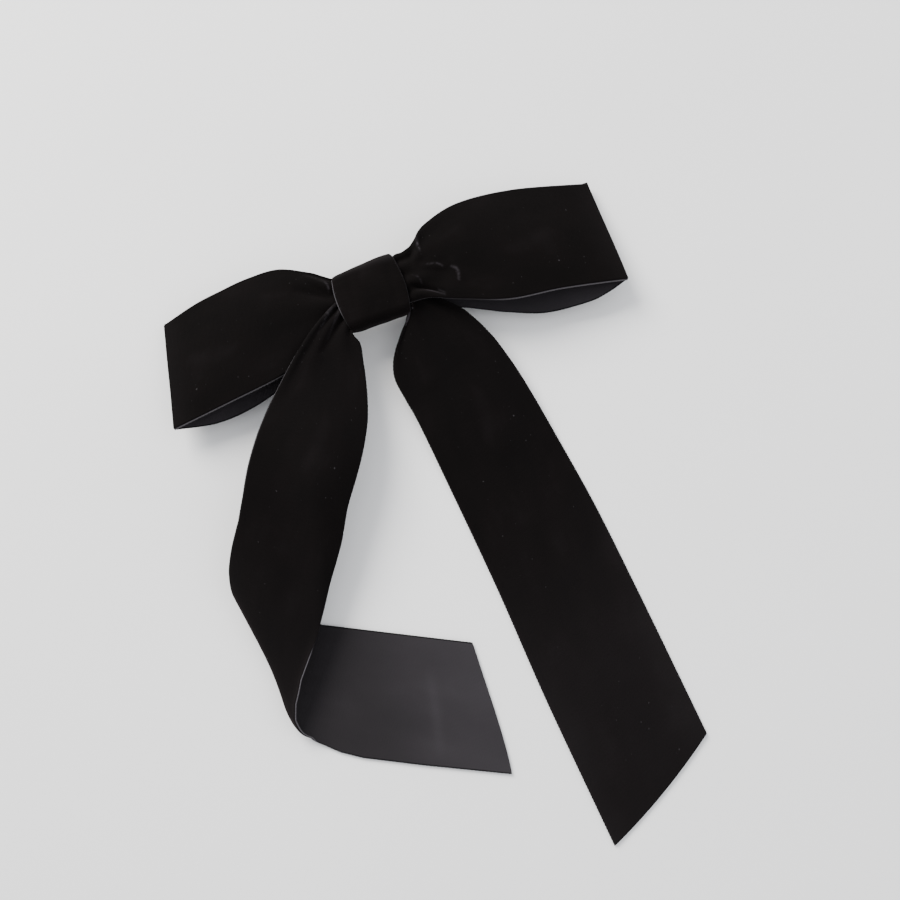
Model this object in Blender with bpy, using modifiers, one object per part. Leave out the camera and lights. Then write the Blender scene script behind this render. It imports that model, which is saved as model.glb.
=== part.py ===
"""Hair bow: one long velvet ribbon folded into two loops and two tails, pinched under a centre
wrap and fixed to a French barrette. Metres, +Z up, +X along the loops. The origin lies on the
resting surface, under the middle of the knot, on the flat underside of the clasp arm."""

import math

import bmesh
import bpy
import numpy as np
from mathutils import Vector

MM = 0.001

# Ribbon
RIBBON_WIDTH = 50.0
RIBBON_THICK = 0.8
GAP = 0.3

# Knot
WRAP_HALF_LENGTH = 13.0
WRAP_HALF_HEIGHT = 13.1
WRAP_MID_Y = -0.6
WRAP_LOW, WRAP_HIGH = 11.4, 20.4
WRAP_THICK = 1.5
WRAP_CORNER = 3.9
CORE_MID_Z = (WRAP_LOW + WRAP_HIGH) / 2
CORE_PROFILE = [(12.8, 9.6), (8.0, 10.2), (3.0, 8.6)]
CORE_SQUASH = 0.27
THREAD_DIAMETER = 0.5
THREAD_TURNS = 4
THREAD_HALF_SPAN = 1.6
THREAD_RING_Y, THREAD_RING_Z = 9.2, 2.72
STITCH_DIAMETER = 0.4
STITCH_COUNT = 9
STITCH_HALF_SPAN = 11.0
STITCH_Y, STITCH_SWING = -9.0, 0.9
GLUE_HALF_LENGTH, GLUE_HALF_WIDTH = 10.0, 3.9
GLUE_CORNER = 2.2
GLUE_THICK = 0.6

# Barrette
BAR_HALF_LENGTH = 31.0
BAR_WIDTH = 9.0
BAR_THICK = 0.8
BAR_TOP = 10.2
BAR_DROP = 3.2
BAR_END_TAPER = 6.0
ARM_WIDTH = 5.0
ARM_HEAD_WIDTH = 8.4
ARM_THICK = 0.8
ARM_HEAD_Z = 2.6
ARM_EYE_WALL = 0.9
SLOT_HALF_LENGTH, SLOT_HALF_WIDTH = 3.0, 2.9
HINGE_X, HINGE_Z = 3.0 - BAR_HALF_LENGTH, 2.6
RIVET_RADIUS = 0.8
RIVET_HEAD_LIP = 0.7
RIVET_HEAD_THICK = 0.7
EAR_GAP = 5.8
EAR_HALF_LENGTH = 2.2
EAR_LOW = 0.9
JOIN_DEPTH = 0.1
THROUGH = 6.0
SPRING_WIDTH = 3.8
SPRING_THICK = 0.5
SPRING_DROP = 1.5
SPRING_SLOPE = 1.2
SPRING_BOW = 1.8
SPRING_END_TRIM = 0.4
TAB_X = BAR_HALF_LENGTH - 4.0
TAB_WIDTH = 3.0
TAB_THICK = 0.4
TAB_TAPER = 0.3
TAB_ROOT_Y, TAB_Y, TAB_TIP_Y = 2.3, 1.5, 2.2
TAB_BEND, TAB_BEND_Z, TAB_TIP_Z = 0.9, 2.0, 0.5

# The two hinge lines of the tails run across the ribbon just below the knot.
LEFT_HINGE = (Vector((-45.5, -22.5, 20.6)), Vector((-12.0, -20.0, 17.6)))
RIGHT_HINGE = (Vector((1.5, -23.5, 12.4)), Vector((38.5, -22.0, 12.4)))
HINGE_GAP = 1.0

# The left tail turns under itself round a flattened cone that lies on the resting surface.
FOLD_APEX = Vector((-77.6, -193.8, 0))
FOLD_ANGLE = math.radians(85.5)
FOLD_CONE = math.radians(13.85)
FOLD_FLATTEN = 0.30
TAIL_HEADING = math.radians(-29.2)
TAIL_POINT = Vector((-71.0, -90.0, 0))
TAIL_START = -78.0
TAIL_UPPER_LENGTH, TAIL_LOWER_LENGTH = 214.5, 235.0
TAIL_FLARE = 44.0
TAIL_ARCH = 6.0
TAIL_ARCH_REACH = 25.0
DRAWN_IN_UPPER, DRAWN_IN_LOWER = 1.0, 5.7
FLARE_UPPER = Vector((-0.66, -0.76, -0.06))
FLARE_LOWER = Vector((-0.06, -0.98, -0.06))
TABLE_GAP = 0.35


def clear_scene():
    for obj in list(bpy.data.objects):
        bpy.data.objects.remove(obj, do_unlink=True)


def collection(name, hidden=False):
    made = bpy.data.collections.new(name)
    made.hide_render = hidden
    bpy.context.scene.collection.children.link(made)
    return made


def material(name, colour, roughness, metallic=0.0, sheen=0.0):
    made = bpy.data.materials.new(name)
    made.use_nodes = True
    shader = made.node_tree.nodes["Principled BSDF"]
    shader.inputs["Base Color"].default_value = (*colour, 1.0)
    shader.inputs["Roughness"].default_value = roughness
    shader.inputs["Metallic"].default_value = metallic
    shader.inputs["Sheen Weight"].default_value = sheen
    return made


def velvet(name):
    return material(name, (0.006, 0.005, 0.006), 0.95, sheen=0.3)


def steel(name):
    return material(name, (0.62, 0.61, 0.59), 0.28, metallic=1.0)


def smooth_curve(points, per_span):
    """Points along a Catmull-Rom curve through the given ones."""
    p = [Vector(point) for point in points]
    p = [2 * p[0] - p[1], *p, 2 * p[-1] - p[-2]]
    found = []
    for a, b, c, d in zip(p, p[1:], p[2:], p[3:]):
        for step in range(per_span):
            t = step / per_span
            found.append(
                0.5 * (2 * b + (c - a) * t + (2 * a - 5 * b + 4 * c - d) * t**2)
                + 0.5 * (3 * b - a - 3 * c + d) * t**3
            )
    found.append(p[-2])
    return found


def add(name, mesh, mat, where, pivot=None):
    """An object at its joint's axis, or at the origin, with its mesh in world millimetres."""
    pivot = Vector(pivot or (0, 0, 0))
    for vertex in mesh.vertices:
        vertex.co = (vertex.co - pivot) * MM
    obj = bpy.data.objects.new(name, mesh)
    obj.location = pivot * MM
    mesh.materials.append(mat)
    where.objects.link(obj)
    return obj


def grid_mesh(name, along, across, place):
    """A grid of quads whose point (i, j) lies at place(i / along, j / across)."""
    bm = bmesh.new()
    bmesh.ops.create_grid(bm, x_segments=along, y_segments=across, size=1.0)
    for vertex in bm.verts:
        x, y, _ = vertex.co
        vertex.co = place((x + 1) / 2, (y + 1) / 2)
    mesh = bpy.data.meshes.new(name)
    bm.to_mesh(mesh)
    bm.free()
    mesh.shade_smooth()
    return mesh


def solidify(obj, thickness, offset=0.0):
    modifier = obj.modifiers.new("thickness", "SOLIDIFY")
    modifier.thickness = thickness * MM
    modifier.offset = offset
    return modifier


def strip(name, upper, lower, per_span, across, mat, where, pivot=None):
    """A ribbon between two edges, given by matching points."""
    edge_a = smooth_curve(upper, per_span)
    edge_b = smooth_curve(lower, per_span)
    last = len(edge_a) - 1

    def place(u, v):
        station = round(u * last)
        return edge_a[station].lerp(edge_b[station], v)

    obj = add(name, grid_mesh(name, last, across, place), mat, where, pivot)
    solidify(obj, RIBBON_THICK)
    return obj


def loops(parts, mat):
    """Each loop is one strip: out along the front, round the crease, and back behind."""
    right_upper = [
        (13.9, 11.0, 17.5), (20, 13.8, 17.6), (32, 22, 16.6), (49, 27.5, 14), (74, 27.8, 9.5),
        (105.3, 22.4, 4.4), (106.2, 22.4, 3.5), (105.3, 22.4, 2.6),
        (88, 24.8, 1.6), (68, 24.5, 1.6), (46, 20.5, 4), (30, 15, 8.6), (13.9, 10, 14.0),
    ]
    right_lower = [
        (13.9, -9.2, 17.5), (22, -10.6, 18.6), (37, -17, 19.8), (54, -23, 19.8), (76, -25.2, 17.6),
        (102.8, -28.4, 12.9), (103.7, -28.5, 12.0), (102.8, -28.6, 11.1),
        (86, -31.2, 8.4), (68, -29.6, 7.0), (52, -24.4, 7.2), (33, -17, 10.0), (13.9, -11, 14.0),
    ]
    left_upper = [
        (-13.9, 12.4, 16.2), (-21.5, 18, 15.8), (-34, 25, 14.4), (-48, 26.6, 12), (-66, 25.2, 9),
        (-86.4, 21.4, 4.4), (-87.3, 21.4, 3.5), (-86.4, 21.4, 2.6),
        (-74, 22.6, 1.6), (-58, 22.4, 1.7), (-42, 18.5, 4), (-29, 13.5, 8.4), (-13.9, 10, 13.6),
    ]
    left_lower = [
        (-13.9, -12.8, 15.8), (-22, -14.5, 17.0), (-36, -19.0, 18.2), (-50, -22.4, 18.0),
        (-69, -24, 16.2), (-92.8, -25.6, 12.9), (-93.7, -25.7, 12.0), (-92.8, -25.8, 11.1),
        (-78, -28.2, 8.4), (-62, -26.4, 6.9), (-47, -22.0, 7.2), (-31, -16, 9.8), (-13.9, -11, 13.6),
    ]
    strip("right_loop", right_upper, right_lower, 3, 5, mat, parts)
    strip("left_loop", left_upper, left_lower, 3, 5, mat, parts)


def necks(parts, mat):
    """The gathered ends of the tails, from the knot to the tails' hinge lines."""
    back = Vector((0, HINGE_GAP / 2, 0))
    a, b = LEFT_HINGE
    strip(
        "left_tail_neck",
        [(-14.0, 1.5, 18.6), (-27, -6.5, 20.3), (-37, -14.5, 20.7), a + back],
        [(-14.0, -13.6, 17.8), (-13.4, -15.8, 17.9), (-12.6, -17.6, 17.8), b + back],
        3, 5, mat, parts,
    )
    a, b = RIGHT_HINGE
    strip(
        "right_tail_neck",
        [(14.0, -14.4, 15.6), (10.4, -17.6, 14.4), (5.6, -20.6, 13.2), a + back],
        [(14.0, -3.5, 15.8), (24.5, -8.5, 14.9), (34.5, -16, 13.4), b + back],
        3, 5, mat, parts,
    )


def right_tail(parts, mat):
    a, b = RIGHT_HINGE
    front = Vector((0, -HINGE_GAP / 2, 0))
    strip(
        "right_tail",
        [a + front, (-1.4, -36, 9.6), (0.6, -54, 5.2), (3.4, -84, 1.4), (8, -133, 0.75),
         (11.8, -182, 0.75), (16.2, -242, 0.75)],
        [b + front, (43, -36, 8.8), (49, -54, 5.2), (52.4, -84, 1.4), (56.6, -125, 0.75),
         (60.6, -168, 0.75), (64.8, -215, 0.75)],
        4, 5, mat, parts, pivot=(a + b) / 2,
    )


def smooth_step(t):
    t = min(1.0, max(0.0, t))
    return t * t * (3 - 2 * t)


def fold_under(flat):
    """A point of the flat ribbon, rolled round the cone: above it, round it, or back beneath.
    The second value is how far the point still has to go to the fold."""
    forward = Vector((math.cos(FOLD_ANGLE), math.sin(FOLD_ANGLE), 0))
    outward = Vector((-forward.y, forward.x, 0))
    up = Vector((0, 0, 1))
    flat = flat - FOLD_APEX
    far = flat.length
    turn = math.atan2(flat.dot(outward), flat.dot(forward))
    half_round = math.pi * math.sin(FOLD_CONE)
    if turn <= 0:
        top = math.cos(2 * FOLD_CONE) * forward + math.sin(2 * FOLD_CONE) * up
        ray = math.cos(turn) * top + math.sin(turn) * outward
    elif turn >= half_round:
        beneath = turn - half_round
        ray = math.cos(beneath) * forward - math.sin(beneath) * outward
    else:
        angle = turn / math.sin(FOLD_CONE)
        axis = math.cos(FOLD_CONE) * forward + math.sin(FOLD_CONE) * up
        radial = -math.sin(FOLD_CONE) * forward + math.cos(FOLD_CONE) * up
        spread = math.cos(angle) * radial + math.sin(angle) * outward
        ray = math.cos(FOLD_CONE) * axis + math.sin(FOLD_CONE) * spread
    place = FOLD_APEX + far * ray
    place.z = place.z * FOLD_FLATTEN + TABLE_GAP + RIBBON_THICK / 2
    return place, -far * math.sin(turn)


def left_tail(parts, mat):
    """A ribbon that leaves the hinge line gathered, widens, and folds back under itself."""
    a, b = LEFT_HINGE
    front = Vector((0, -HINGE_GAP / 2, 0))
    down = Vector((math.sin(TAIL_HEADING), -math.cos(TAIL_HEADING), 0))
    side = Vector((down.y, -down.x, 0))

    def place(u, v):
        s = u * (TAIL_UPPER_LENGTH + (TAIL_LOWER_LENGTH - TAIL_UPPER_LENGTH) * v)
        across = (0.5 - v) * RIBBON_WIDTH
        laid, to_fold = fold_under(TAIL_POINT + down * (s + TAIL_START) + side * across)
        arched = smooth_step(to_fold / TAIL_ARCH_REACH)
        drawn_in = DRAWN_IN_LOWER if v > 0.5 else DRAWN_IN_UPPER
        laid += side * arched * drawn_in * (2 * v - 1)
        laid.z += arched * TAIL_ARCH * (1 - (2 * v - 1) ** 2)
        if s >= TAIL_FLARE:
            return laid
        start = (a + front).lerp(b + front, v)
        reach = start + FLARE_UPPER.lerp(FLARE_LOWER, v) * s
        return reach.lerp(laid, smooth_step(s / TAIL_FLARE))

    obj = add("left_tail", grid_mesh("left_tail", 54, 6, place), mat, parts, (a + b) / 2)
    solidify(obj, RIBBON_THICK)


def rounded_rectangle(corner_steps, half_y, half_z, radius):
    """Corner arcs of a rounded rectangle, as points."""
    found = []
    for quarter in range(4):
        cy = (half_y - radius) * (1 if quarter in (0, 3) else -1)
        cz = (half_z - radius) * (1 if quarter in (0, 1) else -1)
        for step in range(corner_steps + 1):
            angle = math.pi / 2 * (quarter + step / corner_steps)
            found.append((cy + radius * math.cos(angle), cz + radius * math.sin(angle)))
    return found


def outline_mesh(name, outlines, half_thick):
    """A 2D curve of closed outlines, holes included, extruded both ways and made a mesh."""
    curve = bpy.data.curves.new(name, "CURVE")
    curve.dimensions = "2D"
    curve.fill_mode = "BOTH"
    curve.extrude = half_thick
    for outline in outlines:
        spline = curve.splines.new("POLY")
        spline.points.add(len(outline) - 1)
        for point, (x, y) in zip(spline.points, outline):
            point.co = (x, y, 0, 1)
        spline.use_cyclic_u = True
    obj = bpy.data.objects.new(name, curve)
    bpy.context.scene.collection.objects.link(obj)
    bpy.context.view_layer.update()
    graph = bpy.context.evaluated_depsgraph_get()
    mesh = bpy.data.meshes.new_from_object(obj.evaluated_get(graph))
    bpy.data.objects.remove(obj)
    bm = bmesh.new()
    bm.from_mesh(mesh)
    bmesh.ops.remove_doubles(bm, verts=bm.verts, dist=0.0001)
    bm.to_mesh(mesh)
    bm.free()
    return mesh


def turned_to_x(mesh, x, y, z):
    """The outline's own axes (across, up, extrude) laid along world Y, Z and X."""
    for vertex in mesh.vertices:
        across, up, out = vertex.co
        vertex.co = (x + out, y + across, z + up)


def centre_wrap(parts, mat):
    half_z = (WRAP_HIGH - WRAP_LOW) / 2
    outer = rounded_rectangle(6, WRAP_HALF_HEIGHT, half_z, WRAP_CORNER)
    inner = rounded_rectangle(
        6, WRAP_HALF_HEIGHT - WRAP_THICK, half_z - WRAP_THICK, WRAP_CORNER - WRAP_THICK
    )
    mesh = outline_mesh("centre_wrap", [outer, inner], WRAP_HALF_LENGTH)
    turned_to_x(mesh, 0, WRAP_MID_Y, CORE_MID_Z)
    add("centre_wrap", mesh, mat, parts)


def revolved(name, profile, mat, parts, squash, steps=24):
    """A profile of (x, radius) turned round the X axis, then flattened along Z."""
    bm = bmesh.new()
    verts = [bm.verts.new((x, r, 0)) for x, r in profile]
    edges = [bm.edges.new(pair) for pair in zip(verts, verts[1:])]
    bmesh.ops.spin(
        bm, geom=verts + edges, axis=(1, 0, 0), cent=(0, 0, 0),
        angle=2 * math.pi, steps=steps, use_merge=True,
    )
    bmesh.ops.remove_doubles(bm, verts=bm.verts, dist=0.0001)
    bmesh.ops.recalc_face_normals(bm, faces=bm.faces)
    mesh = bpy.data.meshes.new(name)
    bm.to_mesh(mesh)
    bm.free()
    for vertex in mesh.vertices:
        x, y, z = vertex.co
        vertex.co = (x, y + WRAP_MID_Y, z * squash + CORE_MID_Z)
    add(name, mesh, mat, parts)


def pinched_centre(parts, mat):
    """The gathered middle of the ribbon, waisted where the thread binds it."""
    end = CORE_PROFILE[0][0]
    left = [(-x, radius) for x, radius in CORE_PROFILE]
    profile = [(-end, 0), *left, *reversed(CORE_PROFILE), (end, 0)]
    revolved("pinched_centre", profile, mat, parts, CORE_SQUASH)


def wire(name, points, diameter, mat, parts, closed=False):
    curve = bpy.data.curves.new(name, "CURVE")
    curve.dimensions = "3D"
    curve.bevel_depth = diameter / 2 * MM
    curve.bevel_resolution = 1
    curve.use_fill_caps = True
    spline = curve.splines.new("POLY")
    spline.points.add(len(points) - 1)
    for point, place in zip(spline.points, points):
        point.co = (*(Vector(place) * MM), 1)
    spline.use_cyclic_u = closed
    obj = bpy.data.objects.new(name, curve)
    curve.materials.append(mat)
    parts.objects.link(obj)
    return obj


def gathering_thread(parts, mat):
    """Turns of thread round the waist of the pinched centre."""
    per_turn = 20
    count = THREAD_TURNS * per_turn
    points = []
    for i in range(count + 1):
        angle = 2 * math.pi * i / per_turn
        x = THREAD_HALF_SPAN * (2 * i / count - 1)
        y = WRAP_MID_Y + THREAD_RING_Y * math.cos(angle)
        points.append((x, y, CORE_MID_Z + THREAD_RING_Z * math.sin(angle)))
    wire("gathering_thread", points, THREAD_DIAMETER, mat, parts)


def bar_z(x):
    """The height of the arched top bar's middle surface."""
    return BAR_TOP - BAR_THICK / 2 - BAR_DROP * (x / BAR_HALF_LENGTH) ** 2


def metal_strip(name, path, mat, parts, thickness, pivot=None):
    """A sheet-metal strip from (x, z, half width) stations."""
    def place(u, v):
        x, z, half = path[round(u * (len(path) - 1))]
        return Vector((x, (2 * v - 1) * half, z))

    obj = add(name, grid_mesh(name, len(path) - 1, 1, place), mat, parts, pivot)
    solidify(obj, thickness)
    return obj


def box(name, low, high, where):
    low, high = Vector(low), Vector(high)
    bm = bmesh.new()
    bmesh.ops.create_cube(bm, size=1.0)
    for vertex in bm.verts:
        vertex.co = [(0.5 + c) * (h - l) + l for c, l, h in zip(vertex.co, low, high)]
    mesh = bpy.data.meshes.new(name)
    bm.to_mesh(mesh)
    bm.free()
    for vertex in mesh.vertices:
        vertex.co *= MM
    obj = bpy.data.objects.new(name, mesh)
    where.objects.link(obj)
    return obj


def cylinder(name, radius, low, high, x, z, where, segments=24):
    """A round bar along Y."""
    bm = bmesh.new()
    bmesh.ops.create_cone(
        bm, cap_ends=True, segments=segments, radius1=radius, radius2=radius, depth=high - low
    )
    mesh = bpy.data.meshes.new(name)
    bm.to_mesh(mesh)
    bm.free()
    for vertex in mesh.vertices:
        a, b, c = vertex.co
        vertex.co = Vector((x + b, (low + high) / 2 + c, z + a)) * MM
    obj = bpy.data.objects.new(name, mesh)
    where.objects.link(obj)
    return obj


def boolean(obj, other, operation):
    modifier = obj.modifiers.new(operation.lower() + "_" + other.name, "BOOLEAN")
    modifier.operation = operation
    modifier.object = other
    return modifier


def as_cutter(obj):
    """A helper solid that joins or cuts another one and isn't a piece itself."""
    obj.hide_render = True
    obj.display_type = "WIRE"
    return obj


def top_bar(parts, cutters, mat):
    """The arched bar, with two ears folded down at the hinge end and a catch bracket's foot."""
    count = 20
    path = []
    for i in range(count + 1):
        x = -BAR_HALF_LENGTH + 2 * BAR_HALF_LENGTH * i / count
        near_end = max(0.0, abs(x) - BAR_HALF_LENGTH + BAR_END_TAPER) / BAR_END_TAPER
        path.append((x, bar_z(x), BAR_WIDTH / 2 * math.sqrt(1 - 0.75 * near_end**2)))
    bar = metal_strip("top_bar", path, mat, parts, BAR_THICK)
    for side in (-1, 1):
        inner, outer = side * EAR_GAP / 2, side * (EAR_GAP / 2 + BAR_THICK)
        low, high = min(inner, outer), max(inner, outer)
        ear = box(
            "ear_%s" % ("rear" if side > 0 else "front"),
            (HINGE_X - EAR_HALF_LENGTH, low, EAR_LOW),
            (HINGE_X + EAR_HALF_LENGTH, high, bar_z(HINGE_X) + JOIN_DEPTH), cutters,
        )
        boolean(bar, as_cutter(ear), "UNION")
    hole = cylinder("rivet_hole", RIVET_RADIUS + GAP, -THROUGH, THROUGH, HINGE_X, HINGE_Z, cutters)
    boolean(bar, as_cutter(hole), "DIFFERENCE")
    return bar


def hinge_rivet(parts, cutters, mat):
    """A plain pin through both ears and the arm's eye, headed at both ends."""
    reach = EAR_GAP / 2 + BAR_THICK + GAP
    ends = reach + RIVET_HEAD_THICK / 2
    pin = cylinder("hinge_rivet", RIVET_RADIUS, -ends, ends, HINGE_X, HINGE_Z, parts)
    pin.data.materials.append(mat)
    for side in (-1, 1):
        low, high = sorted((side * reach, side * (reach + RIVET_HEAD_THICK)))
        name = "rivet_head_%s" % ("rear" if side > 0 else "front")
        head = cylinder(name, RIVET_RADIUS + RIVET_HEAD_LIP, low, high, HINGE_X, HINGE_Z, cutters)
        boolean(pin, as_cutter(head), "UNION")


def clasp_arm(parts, cutters, mat):
    """A flat strip with an eye rolled round the rivet and a slotted head over the catch tabs."""
    middle = ARM_THICK / 2
    eye = RIVET_RADIUS + GAP
    head = ARM_HEAD_Z
    path = [
        (HINGE_X, middle, ARM_WIDTH / 2), (TAB_X - 11, middle, ARM_WIDTH / 2),
        (TAB_X - 9, 0.75, ARM_WIDTH / 2), (TAB_X - 6, head - 0.5, ARM_HEAD_WIDTH / 2 - 0.8),
        (TAB_X - 4, head, ARM_HEAD_WIDTH / 2), (TAB_X + 4, head, ARM_HEAD_WIDTH / 2),
        (TAB_X + 6, head + 0.1, ARM_HEAD_WIDTH / 2 - 1.2),
    ]
    arm = metal_strip("clasp_arm", path, mat, parts, ARM_THICK, (HINGE_X, 0, HINGE_Z))
    half = EAR_GAP / 2 - GAP
    block = cylinder("arm_eye", eye + ARM_EYE_WALL, -half, half, HINGE_X, HINGE_Z, cutters)
    web = box("arm_web", (HINGE_X - 1.5, -half, 0.01), (HINGE_X + 1.8, half, 1.4), cutters)
    bore = cylinder("arm_bore", eye, -THROUGH, THROUGH, HINGE_X, HINGE_Z, cutters)
    slot = box(
        "arm_slot", (TAB_X - SLOT_HALF_LENGTH, -SLOT_HALF_WIDTH, 0),
        (TAB_X + SLOT_HALF_LENGTH, SLOT_HALF_WIDTH, THROUGH), cutters,
    )
    boolean(arm, as_cutter(block), "UNION")
    boolean(arm, as_cutter(web), "UNION")
    boolean(arm, as_cutter(bore), "DIFFERENCE")
    boolean(arm, as_cutter(slot), "DIFFERENCE")


def tension_bar(parts, mat):
    """A bowed spring strip, held at the hinge end just inside the top bar."""
    count = 14
    start, end = HINGE_X + 5, TAB_X - 7
    path = []
    for i in range(count + 1):
        t = i / count
        x = start + (end - start) * t
        z = bar_z(x) - SPRING_DROP - SPRING_SLOPE * t - SPRING_BOW * math.sin(math.pi * t)
        path.append((x, z, SPRING_WIDTH / 2 - (0 if 0 < i < count else SPRING_END_TRIM)))
    pivot = (start, 0, bar_z(start) - SPRING_DROP)
    metal_strip("tension_bar", path, mat, parts, SPRING_THICK, pivot)


def catch_tabs(parts, mat):
    """Two sprung tabs that hang from the catch end and reach through the arm's slot."""
    root = bar_z(TAB_X) - BAR_THICK / 2 - GAP
    for side, name in ((-1, "catch_tab_front"), (1, "catch_tab_rear")):
        points = [
            (side * TAB_ROOT_Y, root), (side * TAB_Y, root - TAB_BEND),
            (side * TAB_Y, TAB_BEND_Z), (side * TAB_TIP_Y, TAB_TIP_Z),
        ]

        def place(u, v):
            y, z = points[round(u * (len(points) - 1))]
            half = TAB_WIDTH / 2 * (1 - TAB_TAPER * u)
            return Vector((TAB_X + (2 * v - 1) * half * side, y, z))

        mesh = grid_mesh(name, len(points) - 1, 1, place)
        obj = add(name, mesh, mat, parts, (TAB_X, side * TAB_Y, root - TAB_BEND))
        solidify(obj, TAB_THICK)


def glue_pad(parts, mat):
    """A flat pad of set glue between the top bar and the back of the wrap."""
    outline = rounded_rectangle(4, GLUE_HALF_LENGTH, GLUE_HALF_WIDTH, GLUE_CORNER)
    mesh = outline_mesh("glue_pad", [outline], GLUE_THICK / 2)
    for vertex in mesh.vertices:
        vertex.co.z += (BAR_TOP + WRAP_LOW) / 2
    add("glue_pad", mesh, mat, parts)


def seam_stitches(parts, mat):
    """A row of stitches that closes the wrap where its end laps over at the back."""
    points = []
    z = WRAP_LOW - GAP - STITCH_DIAMETER / 2
    for i in range(STITCH_COUNT + 1):
        side = 1 if i % 2 else -1
        x = STITCH_HALF_SPAN * (2 * i / STITCH_COUNT - 1)
        points.append((x, STITCH_Y + side * STITCH_SWING, z))
    wire("wrap_stitches", points, STITCH_DIAMETER, mat, parts)


def main():
    clear_scene()
    parts = collection("hair_bow")
    cutters = collection("cutters", hidden=True)
    ribbon = velvet("black_velvet_ribbon")
    metal = steel("plated_steel")
    loops(parts, ribbon)
    necks(parts, ribbon)
    left_tail(parts, ribbon)
    right_tail(parts, ribbon)
    centre_wrap(parts, velvet("black_velvet_wrap"))
    pinched_centre(parts, ribbon)
    thread = material("black_thread", (0.01, 0.01, 0.012), 0.7)
    gathering_thread(parts, thread)
    seam_stitches(parts, thread)
    glue_pad(parts, material("clear_set_glue", (0.75, 0.72, 0.62), 0.35))
    top_bar(parts, cutters, metal)
    hinge_rivet(parts, cutters, metal)
    clasp_arm(parts, cutters, metal)
    tension_bar(parts, steel("spring_steel"))
    catch_tabs(parts, steel("catch_steel"))


main()
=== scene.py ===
"""Hair bow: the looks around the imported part. Ribbon pieces are built in millimetres, in the
part's own frame, and written in metres. Each ribbon has a woven base, a rounded pile in front
and a thin selvage lip along both edges."""

import math

import bmesh
import bpy
import numpy as np
from mathutils import Matrix, Vector


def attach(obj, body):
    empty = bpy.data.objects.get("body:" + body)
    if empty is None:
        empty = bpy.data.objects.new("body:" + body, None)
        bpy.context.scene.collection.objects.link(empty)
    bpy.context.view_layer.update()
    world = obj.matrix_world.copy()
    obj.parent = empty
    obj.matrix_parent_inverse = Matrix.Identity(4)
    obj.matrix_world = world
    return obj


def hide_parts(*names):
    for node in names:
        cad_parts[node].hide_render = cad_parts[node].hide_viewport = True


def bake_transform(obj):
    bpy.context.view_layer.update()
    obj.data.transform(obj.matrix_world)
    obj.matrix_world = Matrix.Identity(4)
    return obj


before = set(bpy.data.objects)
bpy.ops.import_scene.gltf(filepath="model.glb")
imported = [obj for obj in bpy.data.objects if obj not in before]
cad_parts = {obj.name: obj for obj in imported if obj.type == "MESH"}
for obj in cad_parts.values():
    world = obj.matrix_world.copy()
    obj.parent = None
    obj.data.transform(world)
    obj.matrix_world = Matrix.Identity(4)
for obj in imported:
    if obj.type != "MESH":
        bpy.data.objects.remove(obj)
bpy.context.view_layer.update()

MM = 0.001
UP = np.array([0.0, 0.0, 1.0])

# Ribbon cross-section, in millimetres from its middle surface
RIBBON_WIDTH = 50.0
ROW_STEP = 0.36
LIP_WIDTH = 0.3
SHOULDER = 0.55
PILE_TOP = 0.5
PILE_TEXTURE, PILE_TEXTURE_SIZE = 0.035, 2.3
LIP_TOP = 0.04
RIM_TOP = -0.06
RIM_ROUND = 0.15
WEAVE_BACK = -0.4
FRINGE_WIDTH = 0.45
SELVAGE_PITCH = 1.44
SELVAGE_TOOTH = 0.2
PILE_TOOTH_SHARE = 0.4
# How pale a selvage shows where it lies in shade: painted shade
SELVAGE_IN_SHADE = 0.08
PILE, WEAVE, LIP, RIM, FRINGE = range(5)

# The left tail and its fold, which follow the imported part's. Left and right are the ribbon's two
# edges, seen from above with the bow's loops at the top.
FOLD_APEX = np.array([-77.6, -193.8, 0.0])
FOLD_ANGLE = math.radians(85.5)
FOLD_CONE = math.radians(13.85)
FOLD_FLATTEN = 0.30
TAIL_HEADING = math.radians(-29.2)
TAIL_POINT = np.array([-71.0, -90.0, 0.0])
TAIL_START = -78.0
TAIL_LEFT_LENGTH, TAIL_RIGHT_LENGTH = 212.6, 235.8
TAIL_FLARE = 44.0
TAIL_ARCH, TAIL_ARCH_REACH = 6.0, 25.0
DRAWN_IN_LEFT, DRAWN_IN_RIGHT = 1.0, 5.7
FLARE_LEFT = np.array([-0.66, -0.76, -0.06])
FLARE_RIGHT = np.array([-0.06, -0.98, -0.06])
REST_HEIGHT = 0.75

# How far the right selvage curls in and up as it turns round the tight end of the fold:
# (length along the tail, x, y, z)
FOLD_CURL = [
    (60, 0, 0, 0), (70, -0.6, 0.3, 0), (85, -2.1, 1.1, 0.6), (100, -4.2, 2.3, 1.6),
    (110, -6.2, 3.3, 2.6), (120, -7.7, 4.0, 3.4), (130, -7.6, 3.7, 3.8), (137, -6.3, 3.0, 3.4),
    (145, -2.5, 2.9, 2.0), (152, 0.9, 3.8, 0.9), (160, 0.8, 3.3, 0.2), (167, -0.4, 1.7, 0),
    (176, -1.0, 0.7, 0), (200, -1.0, 0.7, 0), (240, -1.4, 1.8, 0),
]
# How far each selvage stands out from the straight ribbon: (length along the tail, left, right)
TAIL_WAVE = [
    (0, 0, 0), (6, 0.3, -0.9), (12, 0.6, -0.8), (21, 0.5, -0.2), (33, 0, -0.5), (45, -0.8, -0.5),
    (57, -1.2, 0), (70, -0.5, 0.2), (85, 0, 0.4), (92, 0, 0.5), (105, 0, 0.4), (115, 0, 0),
]
WAVE_POWER = 3
CURL_FROM, CURL_POWER = 0.25, 3.5
FOLD_SWELL = 1.6
FOLD_SWELL_AT, FOLD_SWELL_REACH, FOLD_SWELL_TURN = 42.0, 19.0, 0.6


# ---------------------------------------------------------------- curves and surfaces

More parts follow.
